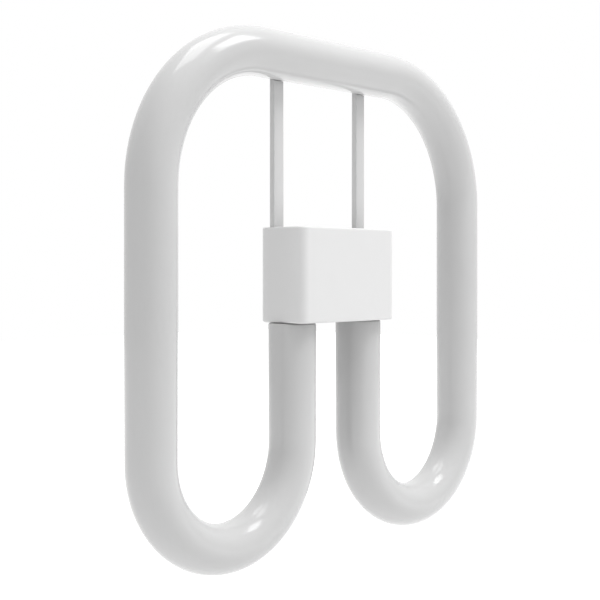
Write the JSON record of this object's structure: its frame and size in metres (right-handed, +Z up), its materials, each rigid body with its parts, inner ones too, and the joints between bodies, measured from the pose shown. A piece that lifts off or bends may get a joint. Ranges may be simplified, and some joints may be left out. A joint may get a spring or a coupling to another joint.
{
  "type": "butterfly led lamp",
  "caption": "Flat plug-in lamp: a milky glossy tube bent into a double-D loop around a white moulded base with slim struts and contact pins at the back; lights a bulkhead fitting.",
  "frame": {"origin": "middle of the square of contact pins, on the seating plane at the back of the base", "axes": "+Y out of the back, the way the pins point; +Z up from the base to the top run of the tube; +X to the right seen from the front"},
  "size_m": [0.205, 0.031, 0.207],
  "materials": {
    "milky_tube": "glossy milky white",
    "base_plastic": "satin moulded white",
    "strut_plastic": "satin light grey",
    "pin_metal": "nickel plated",
    "screw_steel": "zinc plated",
    "board_laminate": "green solder mask",
    "capacitor_sleeve": "dark shrink sleeve",
    "choke_core": "ferrite with a wound waist",
    "chip_case": "moulded black",
    "resistor_body": "lacquered",
    "lead_wire": "tinned"
  },
  "bodies": {
    "root": {"light_tube": "milky_tube", "base_housing": "base_plastic", "rear_cover": "base_plastic", "strut_left": "strut_plastic", "strut_right": "strut_plastic", "contact_pin_1": "pin_metal", "contact_pin_2": "pin_metal", "contact_pin_3": "pin_metal", "contact_pin_4": "pin_metal", "cover_screw_upper": "screw_steel", "cover_screw_lower": "screw_steel", "driver_board": "board_laminate", "input_capacitor": "capacitor_sleeve", "output_capacitor": "capacitor_sleeve", "power_choke": "choke_core", "driver_chip": "chip_case", "bridge_rectifier": "chip_case", "fuse_resistor": "resistor_body", "tube_leads_left": "lead_wire", "tube_leads_right": "lead_wire"}
  },
  "joints": []
}
